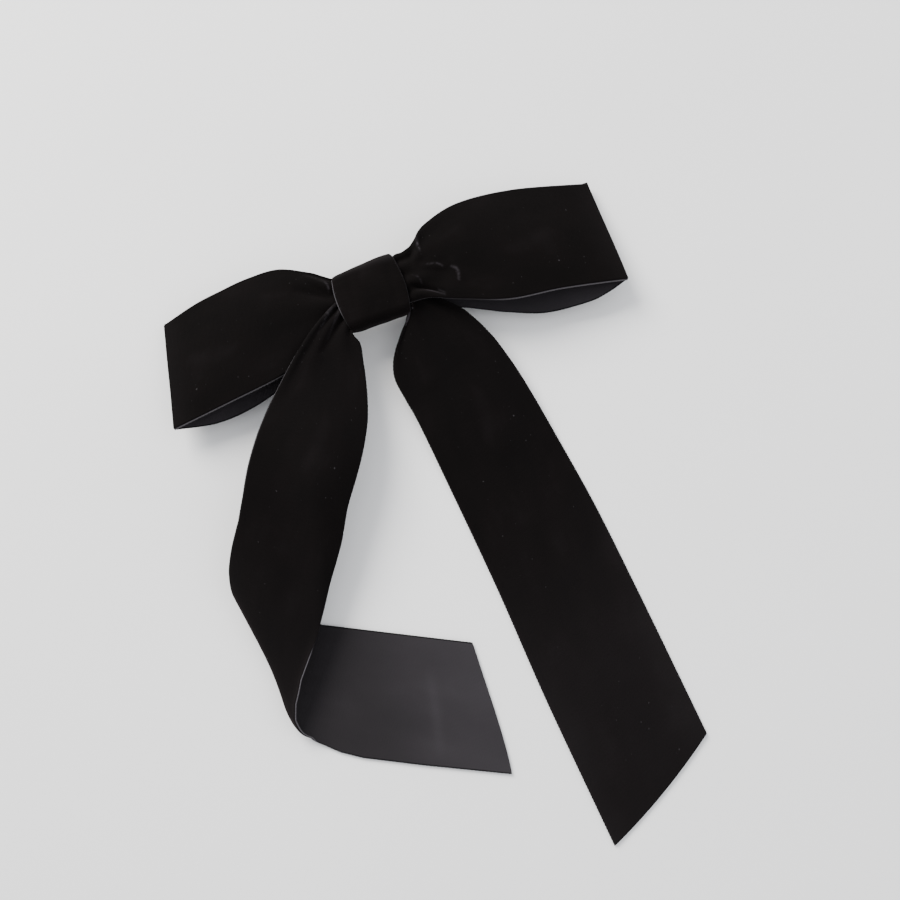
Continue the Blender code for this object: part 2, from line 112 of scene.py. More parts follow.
def smooth_curve(points, per_span=40):
    """Points along a Catmull-Rom curve through the given ones."""
    p = np.array(points, float)
    p = np.vstack([2 * p[0] - p[1], p, 2 * p[-1] - p[-2]])
    t = np.arange(per_span)[:, None] / per_span
    spans = []
    for a, b, c, d in zip(p, p[1:], p[2:], p[3:]):
        spans.append(
            0.5 * (2 * b + (c - a) * t + (2 * a - 5 * b + 4 * c - d) * t**2)
            + 0.5 * (3 * b - a - 3 * c + d) * t**3
        )
    return np.vstack([*spans, p[-2][None]])


def smooth_step(t):
    t = np.clip(t, 0.0, 1.0)
    return t * t * (3 - 2 * t)


def lengths_along(points):
    steps = np.linalg.norm(np.diff(points, axis=0), axis=1)
    return np.concatenate([[0.0], np.cumsum(steps)])


def middle_length(rows):
    """The distance of each row along the middle of the ribbon."""
    return lengths_along(rows[:, rows.shape[1] // 2])


def even_line(points, count):
    """The same line with its points evenly spaced."""
    length = lengths_along(points)
    wanted = np.linspace(0, length[-1], count)
    return np.stack([np.interp(wanted, length, points[:, k]) for k in range(3)], 1)


def even_rows(rows, step=ROW_STEP):
    """Rows of points, re-spaced evenly along the middle of the ribbon."""
    length = middle_length(rows)
    wanted = np.linspace(0, length[-1], int(length[-1] / step) + 2)
    flat = rows.reshape(len(rows), -1)
    found = np.stack([np.interp(wanted, length, flat[:, k]) for k in range(flat.shape[1])], 1)
    return found.reshape(len(wanted), rows.shape[1], 3)


def columns(width):
    """Distances across the ribbon, closer together at the selvages."""
    edge = [0, RIM_ROUND, LIP_WIDTH, 0.36, FRINGE_WIDTH, 0.62, LIP_WIDTH + SHOULDER, 1.3, 2.0, 3.0]
    inner = list(np.linspace(4.2, width / 2, max(3, int(width / 2.6))))
    left = edge + inner
    return np.array(left + [width - x for x in reversed(left[:-1])])


def between(edge_a, edge_b, across):
    """Rows of points straight across from one edge to the other."""
    return edge_a[:, None] + (edge_b - edge_a)[:, None] * across[None, :, None]


def smooth_rows(rows, centre, reach, passes=60):
    """Softens a bend along the ribbon, around one row."""
    index = np.arange(len(rows))
    share = np.exp(-(((index - centre) / reach) ** 2))[:, None, None] * 0.5
    for _ in range(passes):
        mean = rows.copy()
        mean[1:-1] = (rows[:-2] + rows[2:]) / 2
        rows = rows + (mean - rows) * share
    return rows


def normals_of(rows):
    """The direction that each point of a surface faces."""
    along = np.gradient(rows, axis=0)
    across = np.gradient(rows, axis=1)
    normal = np.cross(across, along)
    return normal / np.maximum(np.linalg.norm(normal, axis=2, keepdims=True), 1e-9)


def soft_noise(x, y, seed, scale):
    """A smooth sum of a few fixed waves, about -1 to 1."""
    rng = np.random.default_rng(seed)
    total = np.zeros(np.broadcast(x, y).shape)
    for _ in range(7):
        angle, phase = rng.uniform(0, 2 * math.pi, 2)
        size = scale * rng.uniform(0.6, 1.7)
        total += np.sin((x * math.cos(angle) + y * math.sin(angle)) * 2 * math.pi / size + phase)
    return total / 4


def fold_line(rows, start, end, width, height):
    """Heights of a crease that runs over the surface between two points seen from above."""
    a, b = np.array(start, float), np.array(end, float)
    flat = rows[:, :, :2] - a
    along = (b - a) / np.dot(b - a, b - a)
    t = flat @ along
    near = np.clip(t, 0, 1)[:, :, None] * (b - a)
    distance = np.linalg.norm(flat - near, axis=2)
    ends = smooth_step(1 - np.abs(2 * np.clip(t, -0.3, 1.3) - 1) / 1.6 + 0.25)
    return height * np.exp(-((distance / width) ** 2)) * ends


def crease_mark(rows, points, width, strength=1.0):
    """Where a thin crease that follows these points, seen from above, gets a painted highlight on its
    ridge; the same line marks a pale streak on the reverse.
    """
    path = smooth_curve([(x, y, 0) for x, y in points], 8)[:, :2]
    found = np.zeros(rows.shape[:2])
    for k, place in enumerate(path):
        taper = math.sin(math.pi * (k + 1) / (len(path) + 1)) ** 0.5
        distance = np.linalg.norm(rows[:, :, :2] - place, axis=2)
        found = np.maximum(found, taper * np.exp(-((distance / width) ** 2)))
    return strength * found


def dent(rows, place, radius, height):
    """Heights of a round dent or swelling about a point seen from above."""
    distance = np.linalg.norm(rows[:, :, :2] - np.array(place, float), axis=2)
    return height * np.exp(-((distance / radius) ** 2))


# ---------------------------------------------------------------- meshes

def mesh_object(name, points, faces, materials, face_material, uv):
    """A mesh in metres from points in millimetres, with its faces turned outward."""
    mesh = bpy.data.meshes.new(name)
    mesh.from_pydata((points * MM).tolist(), [], faces)
    for mat in materials:
        mesh.materials.append(mat)
    mesh.polygons.foreach_set("material_index", face_material.astype(np.int32))
    layer = mesh.uv_layers.new(name="cloth")
    corner = np.empty(len(mesh.loops), np.int32)
    mesh.loops.foreach_get("vertex_index", corner)
    layer.data.foreach_set("uv", (uv[corner] * MM).astype(np.float32).ravel())
    mesh.shade_smooth()
    solid = bmesh.new()
    solid.from_mesh(mesh)
    bmesh.ops.recalc_face_normals(solid, faces=solid.faces)
    solid.to_mesh(mesh)
    solid.free()
    obj = bpy.data.objects.new(name, mesh)
    bpy.context.scene.collection.objects.link(obj)
    return obj


def front_and_back(rows, distance, width, pile_side, relief):
    """The ribbon's front with its rounded pile and selvage lips, its flat back, and the
    distance of each row along it."""
    if relief is not None:
        rows = rows + normals_of(rows) * pile_side * relief[:, :, None]
    normal = normals_of(rows) * pile_side
    along = middle_length(rows)
    edge = np.minimum(distance, width - distance)
    rise = np.clip((edge - LIP_WIDTH) / SHOULDER, 0, 1)
    lip_top = RIM_TOP + (LIP_TOP - RIM_TOP) * np.clip(edge / RIM_ROUND, 0, 1)
    top = lip_top + (PILE_TOP - LIP_TOP) * np.sqrt(1 - (1 - rise) ** 2)
    texture = soft_noise(along[:, None], distance[None], 5, PILE_TEXTURE_SIZE) * (rise > 0.9)
    front = rows + normal * (top[None] + PILE_TEXTURE * texture)[:, :, None]
    back = rows + normal * WEAVE_BACK
    tooth = SELVAGE_TOOTH * np.abs(np.sin(math.pi * along / SELVAGE_PITCH))[:, None]
    for side, inner in ((0, 1), (-1, -2)):
        outward = rows[:, side] - rows[:, inner]
        outward /= np.maximum(np.linalg.norm(outward, axis=1, keepdims=True), 1e-9)
        front[:, side] += outward * tooth * PILE_TOOTH_SHARE
        back[:, side] += outward * tooth
    return front, back, along


def ring_faces(count, distance, width):
    """The faces round a ribbon and over its two cut ends, with the material of each."""
    wide = len(distance)
    index = np.arange(count * 2 * wide).reshape(count, 2 * wide)
    after = np.roll(index, -1, axis=1)
    faces = np.stack([index[:-1], index[1:], after[1:], after[:-1]], 2).reshape(-1, 4).tolist()
    edge = np.minimum(distance, width - distance)
    inside = np.minimum(edge[:-1], edge[1:]) + 0.001
    front_kind = np.where(inside < LIP_WIDTH, LIP, PILE)
    back_kind = np.where(inside < FRINGE_WIDTH, FRINGE, WEAVE)[::-1]
    kind = np.concatenate([front_kind, [RIM], back_kind, [RIM]])
    kinds = [np.tile(kind, count - 1)]
    for row, step in ((0, 1), (count - 1, -1)):
        line, under = index[row, :wide], index[row, wide:][::-1]
        cap = np.stack([line[:-1], line[1:], under[1:], under[:-1]], 1)[:, ::step]
        faces += cap.tolist()
        kinds.append(np.full(wide - 1, WEAVE))
    return faces, np.concatenate(kinds)


def ribbon(name, rows, distance, width, materials, pile_side=1, relief=None, crease_highlight=0.0,
           brushed=0.0, reverse_paleness=0.85, selvage_light=1.0):
    """A closed ribbon round a middle surface: pile and a selvage lip in front, plain weave and
    a dark fringe of pile ends behind. The crease highlight is a highlight painted on crease ridges,
    brushed is where the pile is drawn paler, mostly as painted light, the reverse paleness is how
    pale the reverse is, with painted shade where it is dark, and the selvage light is how pale the
    selvage shows: its own threads where lit, painted shade elsewhere."""
    count, wide = rows.shape[:2]
    front, back, along = front_and_back(rows, distance, width, pile_side, relief)
    ring = np.concatenate([front, back[:, ::-1]], axis=1)
    faces, kinds = ring_faces(count, distance, width)
    across = np.concatenate([distance, distance[::-1]])
    uv = np.stack([np.repeat(along, 2 * wide), np.tile(across, count)], 1)
    obj = mesh_object(name, ring.reshape(-1, 3), faces, materials, kinds, uv)
    whole = np.ones((count, wide))
    for label, ahead, behind in (
        ("crease_highlight", crease_highlight, 0.0), ("brushed", brushed, reverse_paleness), ("selvage_light", selvage_light, selvage_light),
    ):
        shade = np.concatenate([whole * ahead, (whole * behind)[:, ::-1]], axis=1)
        layer = obj.data.attributes.new(label, "FLOAT", "POINT")
        layer.data.foreach_set("value", np.clip(shade, 0, 1).astype(np.float32).ravel())
    return obj


# ---------------------------------------------------------------- materials

BLACK, WHITE = (0, 0, 0), (1, 1, 1)
SHADED_PILE = (0.0008, 0.0006, 0.0006)
# Paler pile, used mostly for painted light
PALE_PILE = (0.0165, 0.0140, 0.0148)
# Painted highlight on the crease ridges
RIDGE_HIGHLIGHT = (0.052, 0.046, 0.052)
LINT = (0.035, 0.032, 0.034)
BETWEEN_YARNS = (0.007, 0.006, 0.007)
# Painted shade on the selvage threads
SHADED_SELVAGE = (0.0030, 0.0024, 0.0024)


def shader_of(name):
    """A new material with its node tree and its shader."""
    mat = bpy.data.materials.new(name)
    mat.use_nodes = True
    return mat, mat.node_tree, mat.node_tree.nodes["Principled BSDF"]


def node(tree, kind, inputs=None, **settings):
    """A new node. An input is a value, or another node's output to link."""
    made = tree.nodes.new(kind)
    for key, value in settings.items():
        setattr(made, key, value)
    for key, value in (inputs or {}).items():
        if isinstance(value, bpy.types.NodeSocket):
            tree.links.new(value, made.inputs[key])
        else:
            made.inputs[key].default_value = value
    return made


def cloth_coordinates(tree):
    return node(tree, "ShaderNodeUVMap", uv_map="cloth").outputs["UV"]


def object_coordinates(tree):
    return node(tree, "ShaderNodeTexCoord").outputs["Object"]


def point_attribute(tree, name):
    return node(tree, "ShaderNodeAttribute", attribute_name=name).outputs["Fac"]


def tones(colour, *factors):
    """The same colour, darker or lighter by each factor."""
    return [tuple(factor * c for c in colour) for factor in factors]


def noise(tree, where, scale, detail=3.0, stretch=(1, 1, 1)):
    moved = node(tree, "ShaderNodeMapping", {"Vector": where, "Scale": stretch})
    return node(
        tree, "ShaderNodeTexNoise",
        {"Vector": moved.outputs[0], "Scale": scale, "Detail": detail},
    ).outputs["Fac"]


def ramp(tree, factor, stops):
    made = node(tree, "ShaderNodeValToRGB", {"Fac": factor})
    elements = made.color_ramp.elements
    while len(elements) > len(stops):
        elements.remove(elements[-1])
    while len(elements) < len(stops):
        elements.new(1.0)
    for element, (place, colour) in zip(elements, stops):
        element.position = place
        element.color = (*colour, 1)
    return made.outputs["Color"]


def mix(tree, factor, a, b, blend="MIX"):
    made = node(tree, "ShaderNodeMix", data_type="RGBA", blend_type=blend)
    for socket, value in ((0, factor), (6, a), (7, b)):
        if isinstance(value, bpy.types.NodeSocket):
            tree.links.new(value, made.inputs[socket])
        else:
            made.inputs[socket].default_value = (*value, 1) if isinstance(value, tuple) else value
    return made.outputs[2]


def calc(tree, operation, a, b=0.0):
    return node(tree, "ShaderNodeMath", {0: a, 1: b}, operation=operation).outputs[0]


def waves(tree, where, scale, direction):
    return node(
        tree, "ShaderNodeTexWave", {"Vector": where, "Scale": scale, "Distortion": 0.6},
        wave_type="BANDS", bands_direction=direction,
    ).outputs["Fac"]


def bump(tree, shader, height, distance, strength=1.0):
    made = node(
        tree, "ShaderNodeBump", {"Height": height, "Distance": distance, "Strength": strength}
    )
    tree.links.new(made.outputs["Normal"], shader.inputs["Normal"])


def velvet_pile(name, lift=1.0):
    """Short black pile: soft patches, lint, painted highlights on crease ridges, and paler areas that
    are mostly painted light.
    """
    mat, tree, shader = shader_of(name)
    where = cloth_coordinates(tree)
    patches = noise(tree, where, 55, 4, (0.6, 1, 1))
    fibres = noise(tree, where, 3200, 2, (0.45, 1, 1))
    low, middle, high = (
        (0.0014 * lift, 0.0010 * lift, 0.0009 * lift), (0.0026 * lift, 0.0018 * lift, 0.0017 * lift),
        (0.0055 * lift, 0.0042 * lift, 0.0044 * lift),
    )
    dark = ramp(tree, patches, [(0.30, low), (0.55, middle), (0.80, high)])
    specks = noise(tree, where, 700, 1)
    lint = ramp(tree, specks, [(0.0, BLACK), (0.77, BLACK), (0.80, WHITE)])
    flecked = mix(tree, lint, dark, LINT)
    gaps = noise(tree, where, 420, 2)
    broken = ramp(tree, gaps, [(0.35, (0.15, 0.15, 0.15)), (0.65, WHITE)])
    # Painted highlights: thin pale lines along the crease ridges, broken up by noise and the pile
    # fibres.
    ridge_highlight = calc(tree, "MULTIPLY", point_attribute(tree, "crease_highlight"), broken)
    ridge_highlight = calc(tree, "MULTIPLY", ridge_highlight, calc(tree, "ADD", fibres, 0.35))
    with_ridge_highlights = mix(tree, ridge_highlight, flecked, RIDGE_HIGHLIGHT)
    # Paler pile where the brushed attribute is set: painted light on the tails, a painted highlight on
    # the wrap's top edge, and a paler band by the loops' creases.
    cloud = calc(tree, "ADD", noise(tree, where, 30, 3), 0.5)
    brushed = calc(tree, "MULTIPLY", point_attribute(tree, "brushed"), cloud)
    paler_pile = mix(tree, brushed, with_ridge_highlights, PALE_PILE)
    colour = mix(tree, calc(tree, "MULTIPLY", fibres, 0.55), paler_pile, SHADED_PILE)
    tree.links.new(colour, shader.inputs["Base Color"])
    shader.inputs["Roughness"].default_value = 0.92
    shader.inputs["Specular IOR Level"].default_value = 0.06
    shader.inputs["Sheen Weight"].default_value = 0.04
    shader.inputs["Sheen Roughness"].default_value = 0.4
    shader.inputs["Sheen Tint"].default_value = (0.85, 0.68, 0.68, 1)
    height = calc(tree, "ADD", fibres, calc(tree, "MULTIPLY", patches, 1.5))
    bump(tree, shader, height, 0.00012, 0.55)
    return mat


def plain_weave(name):
    """The ribbon's woven reverse, between a deep and a pale tone; the deep tone near the left tail's
    fold is painted shade.
    """
    mat, tree, shader = shader_of(name)
    where = cloth_coordinates(tree)
    warp = waves(tree, where, 620, "Y")
    weft = waves(tree, where, 480, "X")
    cloth = calc(tree, "MULTIPLY", warp, weft)
    cloudy = noise(tree, where, 38, 3, (0.5, 1, 1))
    deep = ramp(tree, cloudy, [
        (0.30, (0.0085, 0.0072, 0.0082)), (0.55, (0.0110, 0.0092, 0.0104)),
        (0.78, (0.0150, 0.0130, 0.0145)),
    ])
    pale = ramp(tree, cloudy, [
        (0.30, (0.0210, 0.0182, 0.0208)), (0.55, (0.0260, 0.0228, 0.0258)),
        (0.78, (0.0340, 0.0305, 0.0338)),
    ])
    # Mixing toward the deep tone paints shade where the reverse is dark.
    base = mix(tree, point_attribute(tree, "brushed"), deep, pale)
    colour = mix(tree, calc(tree, "MULTIPLY", cloth, 0.35), base, BETWEEN_YARNS)
    tree.links.new(colour, shader.inputs["Base Color"])
    shader.inputs["Roughness"].default_value = 0.78
    shader.inputs["Specular IOR Level"].default_value = 0.16
    shader.inputs["Sheen Weight"].default_value = 0.015
    shader.inputs["Sheen Tint"].default_value = (0.8, 0.75, 0.8, 1)
    bump(tree, shader, cloth, 0.0001, 0.6)
    return mat


def selvage_thread(name, tone=1.0):
    """Close edge threads: their own pale tone where lit, and painted shade as dark as the pile where
    they lie in shade.
    """
    mat, tree, shader = shader_of(name)
    where = cloth_coordinates(tree)
    rows = waves(tree, where, 900, "X")
    base = ramp(tree, rows, [
        (0.2, (0.030 * tone, 0.027 * tone, 0.030 * tone)),
        (0.8, (0.110 * tone, 0.102 * tone, 0.110 * tone)),
    ])
    colour = mix(tree, point_attribute(tree, "selvage_light"), SHADED_SELVAGE, base)
    tree.links.new(colour, shader.inputs["Base Color"])
    shader.inputs["Roughness"].default_value = 0.8
    shader.inputs["Specular IOR Level"].default_value = 0.12
    bump(tree, shader, rows, 0.0001, 0.6)
    return mat


def plated_metal(name, colour, roughness, brushed):
    """Plated steel: rolling lines along the strip, a few scratches and cloudy handling marks."""
    mat, tree, shader = shader_of(name)
    where = object_coordinates(tree)
    stretch = (0.05, 1, 1) if brushed else (0.18, 1, 1)
    rolled = noise(tree, where, 5200, 3, stretch)
    broad = noise(tree, where, 160, 4)
    lines = noise(tree, where, 900, 2, (0.12, 1, 0.5))
    scratch = ramp(tree, lines, [(0.0, BLACK), (0.66, BLACK), (0.70, WHITE), (0.74, BLACK)])
    shader.inputs["Metallic"].default_value = 1.0
    dull, deep = tones(colour, 0.55, 0.35)
    cloudy = ramp(tree, broad, [(0.35, BLACK), (0.7, WHITE)])
    tint = mix(tree, calc(tree, "MULTIPLY", cloudy, 0.7), colour, dull)
    marked = mix(tree, calc(tree, "MULTIPLY", scratch, 0.5), tint, deep)
    lined = mix(tree, calc(tree, "MULTIPLY", rolled, 0.4), marked, dull)
    tree.links.new(lined, shader.inputs["Base Color"])
    rough = calc(tree, "ADD", calc(tree, "MULTIPLY", broad, 0.3), roughness - 0.1)
    tree.links.new(rough, shader.inputs["Roughness"])
    bump(tree, shader, calc(tree, "ADD", rolled, scratch), 0.00003, 0.5)
    return mat


def set_glue(name):
    """Cloudy set hot-melt glue."""
    mat, tree, shader = shader_of(name)
    cloudy = noise(tree, object_coordinates(tree), 300, 4)
    base = ramp(tree, cloudy, [(0.3, (0.55, 0.52, 0.43)), (0.7, (0.78, 0.76, 0.68))])
    tree.links.new(base, shader.inputs["Base Color"])
    shader.inputs["Roughness"].default_value = 0.32
    shader.inputs["Transmission Weight"].default_value = 0.25
    bump(tree, shader, cloudy, 0.0004, 0.5)
    return mat


def sewing_thread(name):
    """Black thread with its twist."""
    mat, tree, shader = shader_of(name)
    twist = waves(tree, object_coordinates(tree), 1500, "DIAGONAL")
    base = ramp(tree, twist, [(0.2, (0.004, 0.004, 0.005)), (0.9, (0.03, 0.03, 0.034))])
    tree.links.new(base, shader.inputs["Base Color"])
    shader.inputs["Roughness"].default_value = 0.6
    shader.inputs["Sheen Weight"].default_value = 0.3
    bump(tree, shader, twist, 0.00008, 0.8)
    return mat


# ---------------------------------------------------------------- loops

# Both edges of each loop, from the knot out along the front, round the crease and back:
# (x, y, z) in millimetres
RIGHT_UPPER = [
    (9, 9.5, 17.0), (14.4, 13.1, 17.5), (18.7, 13.5, 17.6), (25, 17.2, 17.2), (31.2, 22.6, 16.6),
    (48.5, 28.3, 14), (74, 28.1, 9.5), (105.3, 22.4, 4.4), (106.2, 22.4, 3.5), (105.3, 22.4, 2.6),
    (88, 24.8, 1.6), (68, 24.5, 1.6), (46, 20.5, 4), (30, 15, 8.6), (13.9, 10, 14.0), (9, 7, 14.4),
]
RIGHT_LOWER = [
    (9, -7.4, 17.0), (13.9, -9.2, 17.5), (22, -10.6, 18.6), (37, -17, 19.8), (54, -23, 19.8),
    (76, -25.2, 17.6), (102.8, -29.0, 12.9), (103.7, -29.1, 12.0), (102.8, -29.3, 11.1),
    (95, -31.2, 9.8), (86, -31.8, 8.4), (68, -29.7, 7.0), (52, -23.6, 7.2), (44, -19.9, 8.0),
    (33, -15.5, 10.0), (13.9, -10.6, 14.0), (9, -8, 14.4),
]
LEFT_UPPER = [
    (-9, 9.5, 16.4), (-13.9, 12.8, 16.2), (-17.7, 15.8, 16.0), (-22, 19.0, 15.7), (-34, 25.4, 14.4),
    (-48, 26.9, 12), (-60, 26.2, 10.2), (-72, 25.2, 7.9), (-86.3, 22.6, 4.4), (-87.2, 22.6, 3.5),
    (-86.3, 22.6, 2.6), (-74, 23.4, 1.6), (-58, 22.4, 1.7), (-42, 18.5, 4), (-29, 13.5, 8.4),
    (-13.9, 10, 13.8), (-9, 7, 14.2),
]
LEFT_LOWER = [
    (-9, -9, 15.9), (-13.9, -11.6, 15.8), (-22, -14.5, 17.0), (-36, -19.0, 18.2), (-50, -22.4, 18.0),
    (-69, -24.4, 16.2), (-93.7, -26.6, 12.9), (-94.6, -26.7, 12.0), (-93.7, -26.9, 11.1),
    (-78, -29.0, 8.4), (-62, -27.0, 6.9), (-47, -22.3, 7.2), (-31, -16, 9.8),
    (-13.9, -10.6, 13.8), (-9, -8, 14.2),
]

LOOP_SIDE_POINTS = 400
CREASE_PALENESS, CREASE_REACH = 0.13, 7.0
FRONT_FADE = 12.0
LOOP_WAVE, LOOP_WAVE_SIZE = 0.22, 46


def loop_line(points):
    """An edge of a loop, with its points spaced evenly on either side of the far crease."""
    curve = smooth_curve(points)
    crease = np.argmax(np.abs(curve[:, 0]))
    out = even_line(curve[: crease + 1], LOOP_SIDE_POINTS)
    back = even_line(curve[crease:], LOOP_SIDE_POINTS)
    return np.vstack([out, back[1:]])


def loop_rows(upper, lower):
    """The middle surface of a loop, in even rows across the ribbon."""
    distance = columns(RIBBON_WIDTH)
    rows = between(loop_line(upper), loop_line(lower), distance / RIBBON_WIDTH)
    return even_rows(rows), distance


def pleats(rows, distance, depth, reach, count, phase, from_end=False):
    """Gathers that spread out from the knot and fade along the ribbon."""
    along = middle_length(rows)
    away = (along[-1] - along if from_end else along)[:, None]
    across = distance[None] / RIBBON_WIDTH
    uneven = 0.12 * np.sin(6 * across + phase)
    gathers = np.sin(2 * math.pi * (across * count + phase + uneven))
    inside = smooth_step(np.minimum(across, 1 - across) / 0.06)
    return depth * np.exp(-((away / reach) ** 1.5)) * gathers * inside


def puffed(rows, distance, height, crease):
    """The soft outward swell of the front layer, from the knot to the crease."""
    t = np.clip(middle_length(rows) / crease, 0, 1)[:, None]
    return height * np.sin(math.pi * distance[None] / RIBBON_WIDTH) * np.sin(math.pi * t**0.8)


def front_share(rows, crease):
    """One on the front layer, fading to nothing at the crease."""
    return smooth_step((crease - middle_length(rows)) / FRONT_FADE)[:, None]


def by_crease(along, crease):
    """The pile is drawn paler beside the loop's far crease."""
    return CREASE_PALENESS * np.exp(-(((along - crease) / CREASE_REACH) ** 2))[:, None]


def right_loop(materials):
    """The right loop, with the crumpled pile beside the knot."""
    rows, distance = loop_rows(RIGHT_UPPER, RIGHT_LOWER)
    along = middle_length(rows)
    crease = along[np.argmax(rows[:, rows.shape[1] // 2, 0])]
    front = front_share(rows, crease)
    relief = puffed(rows, distance, 2.6, crease)
    relief += pleats(rows, distance, 1.0, 15, 3.5, 0.1)
    relief += pleats(rows, distance, 0.7, 16, 3.0, 0.4, from_end=True)
    relief += front * dent(rows, (31, -1.5), 5.5, -1.9)
    relief += front * fold_line(rows, (36.5, 1.5), (37.5, -8), 1.5, 0.7)
    relief += front * fold_line(rows, (24, 3.4), (33, 0.5), 1.3, 0.6)
    relief += front * fold_line(rows, (17, -2.6), (28.5, -10.2), 1.2, -1.5)
    relief += front * fold_line(rows, (16.5, -6.0), (26.5, -12.2), 1.1, 0.7)
    relief += front * fold_line(rows, (27.5, 20), (23.5, 8), 1.4, 0.9)
    relief += front * fold_line(rows, (23.6, 18), (19.5, 6), 1.6, -0.9)
    relief += LOOP_WAVE * soft_noise(rows[:, :, 0], rows[:, :, 1], 11, LOOP_WAVE_SIZE)
    # Painted highlights along the crease ridges beside the knot.
    crease_highlight = front * (
        crease_mark(rows, [(26.9, 20.4), (25.6, 15), (25.2, 10.4)], 0.42, 0.9)
        + crease_mark(rows, [(26.0, 3.4), (29.5, 3.0), (32.2, 0.8)], 0.34, 0.6)
        + crease_mark(rows, [(35.4, -0.6), (37.0, -3.0), (37.0, -5.6), (36.2, -7.8)], 0.42, 0.75)
        + crease_mark(rows, [(21.0, -6.2), (24.8, -8.8), (28.6, -11.6)], 0.38, 0.9)
        + crease_mark(rows, [(27.0, -8.2), (29.2, -10.6)], 0.3, 0.6)
        + crease_mark(rows, [(18.5, 1.4), (20.6, -0.6), (21.3, -3.4)], 0.32, 0.3)
    )
    # Painted shade on the selvage near the knot, its own pale threads further out.
    selvage_light = 0.25 + 0.75 * smooth_step((along - 32) / 16)[:, None]
    obj = ribbon(
        "ribbon_right_loop", rows, distance, RIBBON_WIDTH, materials, 1, relief, crease_highlight,
        by_crease(along, crease), selvage_light=selvage_light,
    )
    return obj, along[-1]


def left_loop(materials):
    """The left loop, which the left tail covers beside the knot."""
    rows, distance = loop_rows(LEFT_UPPER, LEFT_LOWER)
    along = middle_length(rows)
    crease = along[np.argmin(rows[:, rows.shape[1] // 2, 0])]
    front = front_share(rows, crease)
    relief = puffed(rows, distance, 2.3, crease)
    relief += pleats(rows, distance, 1.0, 15, 3.5, 0.6)
    relief += pleats(rows, distance, 0.7, 16, 3.0, 0.2, from_end=True)
    relief += front * fold_line(rows, (-24, 17), (-16, 7), 1.5, 0.8)
    relief += front * fold_line(rows, (-29, 12), (-18, 4), 1.7, -0.9)
    relief += LOOP_WAVE * soft_noise(rows[:, :, 0], rows[:, :, 1], 12, LOOP_WAVE_SIZE)
    # Painted highlight along a crease ridge beside the knot.
    crease_highlight = front * crease_mark(rows, [(-18.2, 13.0), (-16.4, 10.0), (-16.6, 7.4)], 0.42, 0.6)
    # Painted shade on the selvage near the knot, its own pale threads further out.
    selvage_light = 0.2 + 0.8 * smooth_step((along - 30) / 16)[:, None]
    obj = ribbon(
        "ribbon_left_loop", rows, distance, RIBBON_WIDTH, materials, -1, relief, crease_highlight,
        by_crease(along, crease), selvage_light=selvage_light,
    )
    return obj, along[-1]


# ---------------------------------------------------------------- tails

TAIL_STEPS = 700
CUT_BOW, CUT_BOW_REACH = 1.6, 40.0
RIGHT_TAIL_CROWN = 2.2
# Painted light on the tails' pile: how much at the knot, toward the lying end and along the selvages
TAIL_LIGHT_AT_KNOT, TAIL_LIGHT_AT_END, TAIL_LIGHT_AT_EDGE = 0.06, 0.24, 0.22
STREAK = [(-30.3, -155.9), (-33, -170.4), (-36.5, -184.8)]

# The edges of the right tail from the knot to its cut, and of the left tail's neck:
# (x, y, z) in millimetres
RIGHT_TAIL_LEFT = [
    (9.5, -8.0, 14.9), (13.3, -10.6, 15.4), (12.9, -12.9, 15.0), (11.6, -14.5, 14.6),
    (9.8, -16.0, 14.3), (7.6, -17.9, 13.9), (5.1, -20.6, 13.3), (1.4, -25.2, 12.2),
    (-1.5, -30.5, 11.0), (-2.8, -36.8, 9.4), (-1.4, -46, 7.1), (0.4, -56, 4.9), (3.3, -84, 1.4),
    (7.4, -133, REST_HEIGHT), (10.2, -182, REST_HEIGHT), (15.2, -242, REST_HEIGHT),
]
RIGHT_TAIL_RIGHT = [
    (9.5, -2.0, 15.0), (14.0, -3.5, 15.8), (24.5, -8.8, 14.9), (33.0, -16.2, 13.4),
    (37.4, -22.6, 12.4), (41.0, -29.4, 10.8), (44.2, -37, 8.6), (48.8, -54, 5.2),
    (54.0, -84, 1.4), (57.1, -107, 0.95), (58.9, -125, REST_HEIGHT), (60.5, -145, REST_HEIGHT),
    (62.2, -168, REST_HEIGHT), (63.7, -190, REST_HEIGHT), (65.4, -215, REST_HEIGHT),
]
NECK_LEFT = [
    (-10, 0.5, 17.6), (-14.0, 1.5, 18.6), (-27, -6.5, 20.3), (-37, -14.5, 20.7),
    (-45.5, -22.5, 20.6),
]
NECK_RIGHT = [
    (-10, -9.8, 16.6), (-12.8, -11.8, 17.3), (-13.2, -15.0, 17.8), (-12.0, -17.6, 17.8),
    (-11.5, -20.0, 17.6),
]


def painted_tail_light(along, distance):
    """Painted light on the tails' pile: paler toward the lying end, and more so along the selvages
    there.
    """
    edge = np.abs(2 * distance[None] / RIBBON_WIDTH - 1)
    toward_end = smooth_step((along - 90) / 110)[:, None]
    return TAIL_LIGHT_AT_KNOT + toward_end * (TAIL_LIGHT_AT_END + TAIL_LIGHT_AT_EDGE * edge**3)


def bowed_end(rows, v):
    """Carries the cut end outward in the middle, so that the cut is slightly round."""
    along = middle_length(rows)
    near_end = smooth_step((along - along[-1] + CUT_BOW_REACH) / CUT_BOW_REACH)[:, None, None]
    heading = rows[-1] - rows[-20]
    heading /= np.linalg.norm(heading, axis=1, keepdims=True)
    return rows + near_end * heading[None] * (CUT_BOW * 4 * v * (1 - v))[None, :, None]


